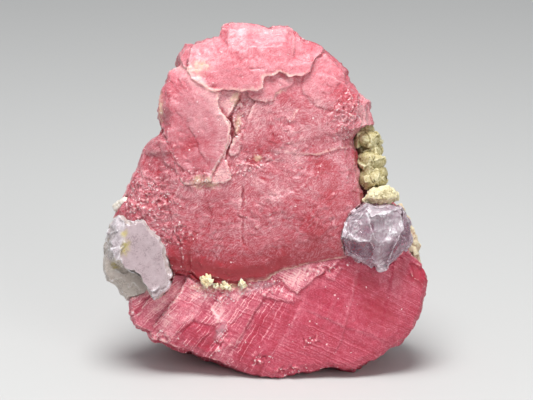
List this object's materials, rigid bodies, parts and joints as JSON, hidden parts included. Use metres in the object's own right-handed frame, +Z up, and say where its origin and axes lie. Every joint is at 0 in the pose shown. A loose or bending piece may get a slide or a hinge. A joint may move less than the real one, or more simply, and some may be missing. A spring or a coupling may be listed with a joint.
{
  "type": "rhodochrosite specimen",
  "caption": "Cabinet mineral specimen: pink rhodochrosite crystals with lilac fluorite, granular matrix and cream calcite grains, standing on a flat foot.",
  "frame": {"origin": "centre of the specimen's bounding box at the level of the flat foot", "axes": "+Z up, +X to the right along the broad pink face, +Y from the broad face towards the back"},
  "size_m": [0.0862, 0.0414, 0.0917],
  "materials": {
    "rhodochrosite": "translucent pink to raspberry, frosted, with bright cleavage steps",
    "fluorite": "pale lilac, clear to cloudy",
    "matrix": "olive-grey to tan, granular and matt",
    "calcite": "cream, fine-grained, matt",
    "quartz": "white, slightly translucent"
  },
  "bodies": {
    "root": {"rhodochrosite": "rhodochrosite", "fluorite_left": "fluorite", "fluorite_right": "fluorite", "matrix_column": "matrix", "matrix_edge": "matrix", "calcite_lump": "calcite", "quartz_crystal": "quartz", "seam_grain_1": "calcite", "seam_grain_2": "calcite", "seam_grain_3": "calcite", "seam_grain_4": "calcite"}
  },
  "joints": []
}
